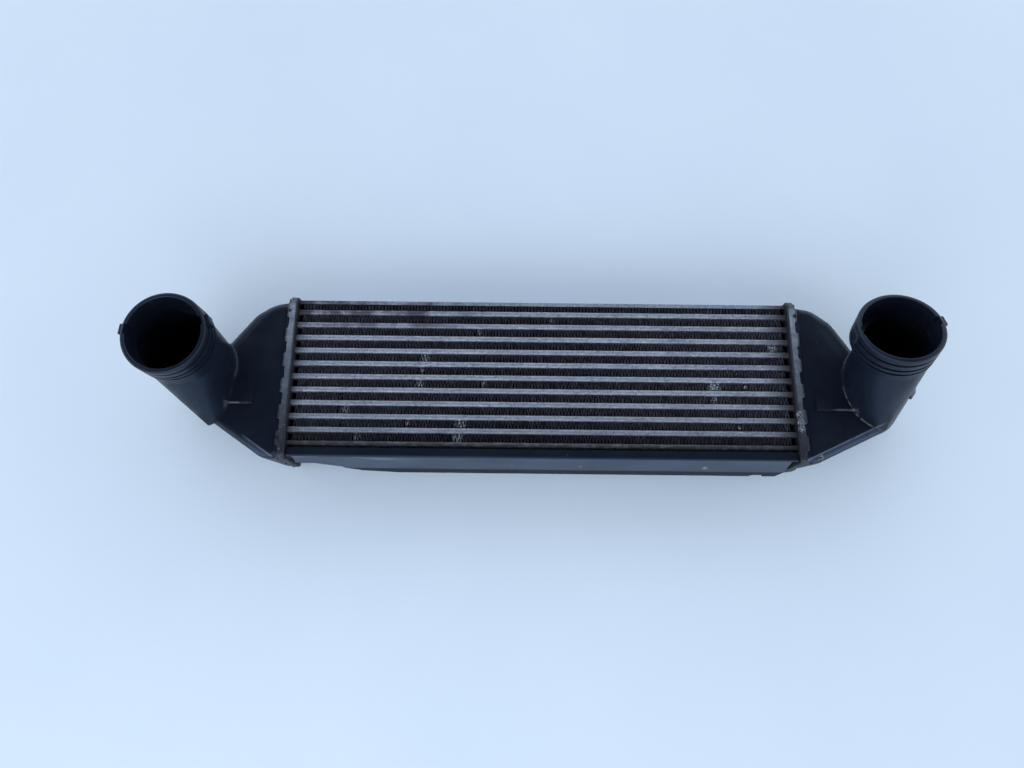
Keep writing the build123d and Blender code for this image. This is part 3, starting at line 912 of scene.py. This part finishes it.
def lug(form, degrees):
    """One of the two lugs that hold the spring clip of the hose."""
    piece = block("lug", (COLLAR_RADIUS - LUG_STANDOFF, -LUG_WIDTH / 2, -LUG_DROP),
                  (COLLAR_RADIUS + LUG_STANDOFF, LUG_WIDTH / 2, -LUG_DROP + LUG_LENGTH))
    pick("edge", lambda edge: middle(edge).x > COLLAR_RADIUS)
    bpy.ops.mesh.bevel(offset=LUG_BEVEL, segments=2)
    finish_edit()
    turn_round(form, piece, degrees)
    return piece


def window(form, degrees):
    """The shallow recess inside the rim behind a lug, where the clip's end comes through."""
    recess = block("window", (BORE_RADIUS - WINDOW_ROOT, -WINDOW_WIDTH / 2, -WINDOW_DROP),
                   (BORE_RADIUS + WINDOW_DEPTH, WINDOW_WIDTH / 2, MM))
    finish_edit()
    turn_round(form, recess, degrees)
    return recess


def melt(piece, *others):
    """Joins closed, overlapping forms to a piece and gives them one common skin."""
    activate(piece)
    for other in others:
        other.select_set(True)
    bpy.ops.object.join()
    apply_modifier(piece, "REMESH", mode="VOXEL", voxel_size=MOULD_GRAIN)


def fill_and_extrude(shift):
    """Fills the closed line being edited and extrudes it to a solid."""
    bpy.ops.mesh.select_all(action="SELECT")
    bpy.ops.mesh.edge_face_add()
    extrude(shift)


def ramp(form):
    """The low ramp on the tank's top beside the neck, highest at its blunted near edge."""
    start, end, near_y, far_y = form["ramp"]
    top = TANK_TOP / MM
    edge_width, edge_drop = RAMP_EDGE
    corners = [(near_y, top - RAMP_ROOT), (far_y, top - RAMP_ROOT), (far_y, top),
               (near_y + edge_width, top + RAMP_HEIGHT), (near_y, top + RAMP_HEIGHT - edge_drop)]
    wedge = draw("ramp", [in_frame(form, (start, y, z)) for y, z in corners], closed=True)
    fill_and_extrude((form["side"] * (end - start) * MM, 0, 0))
    finish_edit()
    return wedge


def flare(form):
    """The spread foot of the elbow where it was welded on, with a small step at its edge."""
    middle_x, middle_y, half_x, half_y, power = form["flare"]
    start, end = [math.radians(degrees) for degrees in form["flare_turn"]]
    foot, top = [in_frame(form, point) for point in form["axis"]]
    up = (top - foot).normalized()
    outline = []
    for i in range(FLARE_STEPS + 1):
        turn = start + (end - start) * i / FLARE_STEPS
        across, along = math.cos(turn), math.sin(turn)
        reach = (abs(across) ** power + abs(along) ** power) ** (-1 / power)
        point = (middle_x + half_x * reach * across, middle_y + half_y * reach * along, 0)
        outline.append(in_frame(form, point))
    skirt = draw("flare", [point + Vector((0, 0, TANK_TOP + form["flare_step"])) for point in outline])
    bpy.ops.mesh.select_all(action="SELECT")
    extrude((0, 0, -FLARE_ROOT))
    bpy.ops.object.mode_set(mode="OBJECT")
    radius = form["elbow_radius"] * MM - FLARE_INSET
    for height in (TANK_TOP - FLARE_ROOT, FLARE_TOP):
        deselect()
        bpy.ops.mesh.primitive_circle_add(vertices=ROUND_STEPS, radius=radius)
        ring = bpy.context.object
        ring.data.transform(Matrix.Translation(foot + up * height / up.z) @ tilt(up))
        skirt.select_set(True)
        bpy.context.view_layer.objects.active = skirt
        bpy.ops.object.join()
    bpy.ops.object.mode_set(mode="EDIT")
    bpy.ops.mesh.select_all(action="SELECT")
    bpy.ops.mesh.convex_hull()
    finish_edit()
    return skirt


def boss(form):
    """The small ledge on the outer side of the neck, flush above and undercut below."""
    degrees, height = form["boss"]
    foot, top = [in_frame(form, point) for point in form["axis"]]
    up = (top - foot).normalized()
    radius = form["elbow_radius"] * MM
    ledge = block("boss", (radius - BOSS_ROOT, -BOSS_HALF_WIDTH, 0),
                  (radius + BOSS_REACH, BOSS_HALF_WIDTH, BOSS_HEIGHT))
    pick("edge", lambda edge: middle(edge).x > radius and middle(edge).z > BOSS_HEIGHT - MM)
    bpy.ops.transform.translate(value=(-BOSS_SLOPE, 0, 0))
    pick("edge", lambda edge: middle(edge).x > radius - MM and abs(middle(edge).y) > BOSS_HALF_WIDTH - MM)
    bpy.ops.mesh.bevel(offset=BOSS_BEVEL, segments=3)
    finish_edit()
    turn = Matrix.Rotation(math.radians(degrees), 4, "Z")
    ledge.data.transform(Matrix.Translation(foot + up * height / up.z * MM) @ tilt(up) @ turn)
    return ledge


def end_tank(node, form):
    """One end tank: a melted skin, sharper parts joined to it, and the room inside cut out."""
    tank = rounded_block(form, node)
    foot = seat(form, "foot", SEAT_HALF_HEIGHT, SEAT_HALF_DEPTH,
                FOOT_INNER, FOOT_INNER + FOOT_THICKNESS, SEAT_BEVEL)
    throat = seat(form, "throat", THROAT_HALF_HEIGHT, THROAT_HALF_DEPTH, FOOT_INNER, TANK_START + MM, MM)
    melt(tank, elbow_body(form, "elbow", 0), foot, throat)
    combine(tank, ramp(form), "UNION")
    combine(tank, flare(form), "UNION")
    if "boss" in form:
        combine(tank, boss(form), "UNION")
    cup = collar_cup()
    for degrees in form["lugs"]:
        combine(cup, lug(form, degrees), "UNION")
        combine(cup, window(form, degrees), "DIFFERENCE")
    place_on_collar(form, cup)
    combine(tank, cup, "UNION")
    room = tank_block(form, "room", WALL, TANK_START - MM)
    finish_edit()
    passage = seat(form, "passage", THROAT_HALF_HEIGHT - THROAT_WALL, THROAT_HALF_DEPTH - THROAT_WALL,
                   FOOT_INNER - MM, TANK_START, MM)
    melt(room, elbow_body(form, "elbow_room", WALL), passage)
    combine(tank, room, "DIFFERENCE")
    shade(tank, 40)
    hand_over(tank, node, BLACK_PLASTIC)


end_tank("left_end_tank", LEFT_TANK)
end_tank("right_end_tank", RIGHT_TANK)

# ---- Air guide rail ------------------------------------------------------------------
# A strip moulded from black plastic along the near side, which guides the air into the core:
# a flange over the last fin, a leaning shoulder that holds dust and has a painted sheen, and a
# skirt with a cut-away.
RAIL_SHEET = 2.2 * MM
RAIL_FOLD = -84.0 * MM
RAIL_FOLD_INSIDE = -82.8 * MM
RAIL_SKIRT_TOP = 35.0 * MM
RAIL_ROUND = 1.5 * MM
RAIL_SKIRT_END = 250.5 * MM
RAIL_CUTAWAY = ((-258, 47), (-231, 45), (-205, 38), (-187, 19), (-150, 7), (-150, 0), (-258, 0))
RAIL_CUT_REACH = 5 * MM    # how far outside the skirt a cutter starts
RAIL_CUT_DEPTH = 12 * MM
NOTCH_X = 230.0 * MM
NOTCH_WIDTH = 14.0 * MM
NOTCH_HEIGHT = 9.0 * MM
NOTCH_CORNER = 4.0 * MM
NOTCH_DEPTH = 7 * MM


def rail_plastic():
    """Black plastic with dust and a painted sheen on the shoulder, painted highlight streaks on it, three
    chips and a duller skirt.
    """
    finish, plastic = black_plastic("dust_and_sheen_black_plastic")
    height, x = finish.axis("Z"), finish.axis("X")
    shoulder = finish.times(finish.between(height, 0.033, 0.037), finish.between(height, 0.0608, 0.059))
    # Dust and painted sheen: the shoulder is paler and bluer, partly from the dust on it and partly from
    # the sky's reflection painted in.
    dust_and_sheen = finish.ramp(finish.noise(40, detail=5, stretch=(0.4, 1, 1)), (0.3, (0.024, 0.034, 0.056)),
                        (0.7, (0.042, 0.056, 0.086)))
    plastic = finish.mix(shoulder, plastic, dust_and_sheen)
    # Painted highlight: pale streaks along the left part of the shoulder.
    streak_highlight = finish.between(finish.noise(130, detail=3, stretch=(0.06, 1, 1)), 0.58, 0.66)
    streak_highlight = finish.times(finish.times(streak_highlight, shoulder), finish.between(x, -0.10, -0.17))
    plastic = finish.mix(finish.times(streak_highlight, 0.5), plastic, (0.16, 0.18, 0.23))
    for place, reach in ((0.168, 0.005), (0.04, 0.002), (-0.03, 0.0025)):
        chip = finish.near((place, -0.089, 0.043), reach)
        chip = finish.times(chip, finish.between(finish.noise(500), 0.45, 0.6))
        plastic = finish.mix(chip, plastic, (0.22, 0.24, 0.28))
    finish.colour(plastic)
    skirt = finish.between(height, 0.0355, 0.0335)
    finish.roughness(finish.math("ADD", finish.times(skirt, 0.42), 0.42))
    return finish.material


low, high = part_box("air_guide_rail")
profile = [(high.y, high.z), (RAIL_FOLD, high.z), (low.y, RAIL_SKIRT_TOP), (low.y, low.z),
           (low.y + RAIL_SHEET, low.z), (low.y + RAIL_SHEET, RAIL_SKIRT_TOP),
           (RAIL_FOLD_INSIDE, high.z - RAIL_SHEET), (high.y, high.z - RAIL_SHEET)]
rail = draw("guide_rail", [(low.x, y, z) for y, z in profile], closed=True)
fill_and_extrude((high.x - low.x, 0, 0))
outer_folds = profile[1:3]
pick("edge", lambda edge: runs_along(edge, 0)
     and any(math.hypot(middle(edge).y - y, middle(edge).z - z) < 0.1 * MM for y, z in outer_folds))
bpy.ops.mesh.bevel(offset=RAIL_ROUND, segments=4)
finish_edit()
for side in (-1, 1):
    xs = sorted((side * RAIL_SKIRT_END, side * 2 * RAIL_SKIRT_END))
    stub = block("stub", (xs[0], low.y - RAIL_CUT_REACH, low.z - MM),
                 (xs[1], RAIL_FOLD_INSIDE, high.z - RAIL_SHEET))
    finish_edit()
    combine(rail, stub, "DIFFERENCE")
cut_from = low.y - RAIL_CUT_REACH
cutaway = draw("cutaway", [(x * MM, cut_from, z * MM) for x, z in RAIL_CUTAWAY], closed=True)
fill_and_extrude((0, RAIL_CUT_DEPTH, 0))
finish_edit()
combine(rail, cutaway, "DIFFERENCE")
notch = block("notch", (NOTCH_X - NOTCH_WIDTH / 2, cut_from, 0),
              (NOTCH_X + NOTCH_WIDTH / 2, low.y + NOTCH_DEPTH, low.z + NOTCH_HEIGHT))
pick("edge", lambda edge: runs_along(edge, 1) and middle(edge).z > MM)
bpy.ops.mesh.bevel(offset=NOTCH_CORNER, segments=4)
finish_edit()
combine(rail, notch, "DIFFERENCE")
shade(rail)
hand_over(rail, "air_guide_rail", rail_plastic())

# ---- Studio --------------------------------------------------------------------------
# A plain pale floor, a soft sky that is bright low down and dark overhead, and one soft lamp.
FLOOR_SIZE = 8.0
FLOOR_DROP = 0.2 * MM
SKY_STOPS = ((0.5, (0.95, 0.98, 1.0, 1)), (0.76, (0.045, 0.05, 0.06, 1)))
SKY_LEVEL = 2.15
BACKDROP = (0.70, 0.80, 0.93, 1)


def floor_paint():
    finish = Finish("floor_paint", Roughness=0.6)
    finish.colour(finish.ramp(finish.noise(3), (0.3, (0.608, 0.745, 0.920)), (0.7, (0.640, 0.777, 0.950))))
    return finish.material


deselect()
bpy.ops.mesh.primitive_plane_add(size=FLOOR_SIZE, location=(0, 0, -FLOOR_DROP))
floor = bpy.context.object
floor.name = "floor"
floor.data.materials.append(floor_paint())

world = bpy.data.worlds.new("sky")
bpy.context.scene.world = world
world.use_nodes = True
nodes, links = world.node_tree.nodes, world.node_tree.links
direction = nodes.new("ShaderNodeSeparateXYZ")
links.new(nodes.new("ShaderNodeTexCoord").outputs["Generated"], direction.inputs[0])
dome = nodes.new("ShaderNodeValToRGB")
for element, (position, colour) in zip(dome.color_ramp.elements, SKY_STOPS):
    element.position = position
    element.color = colour
links.new(direction.outputs["Z"], dome.inputs["Fac"])
backdrop = nodes.new("ShaderNodeBackground")
backdrop.inputs["Color"].default_value = BACKDROP
sky = nodes["Background"]
sky.inputs["Strength"].default_value = SKY_LEVEL
links.new(dome.outputs["Color"], sky.inputs["Color"])
seen = nodes.new("ShaderNodeLightPath")
choice = nodes.new("ShaderNodeMixShader")
links.new(seen.outputs["Is Camera Ray"], choice.inputs["Fac"])
links.new(sky.outputs["Background"], choice.inputs[1])
links.new(backdrop.outputs["Background"], choice.inputs[2])
links.new(choice.outputs["Shader"], nodes["World Output"].inputs["Surface"])

lamp_data = bpy.data.lights.new("soft_lamp", "AREA")
lamp_data.shape = "DISK"
lamp_data.size = 1.2
lamp_data.energy = 5
lamp = bpy.data.objects.new("soft_lamp", lamp_data)
bpy.context.scene.collection.objects.link(lamp)
lamp.location = (-0.4, -1.2, 1.0)
lamp.rotation_euler = (-lamp.location).to_track_quat("-Z", "Y").to_euler()

# ---- Camera --------------------------------------------------------------------------
# Held above the near side of the cooler, looking down and a little away.
camera_data = bpy.data.cameras.new("camera")
camera_data.sensor_width = 36
camera_data.lens = 25.207
camera = bpy.data.objects.new("camera", camera_data)
bpy.context.scene.collection.objects.link(camera)
camera.location = (-0.030109, -0.203319, 0.7720)
camera.rotation_euler = (math.radians(15.41), math.radians(-0.11), math.radians(0.62))
bpy.context.scene.camera = camera
bpy.context.scene.view_settings.view_transform = "Standard"
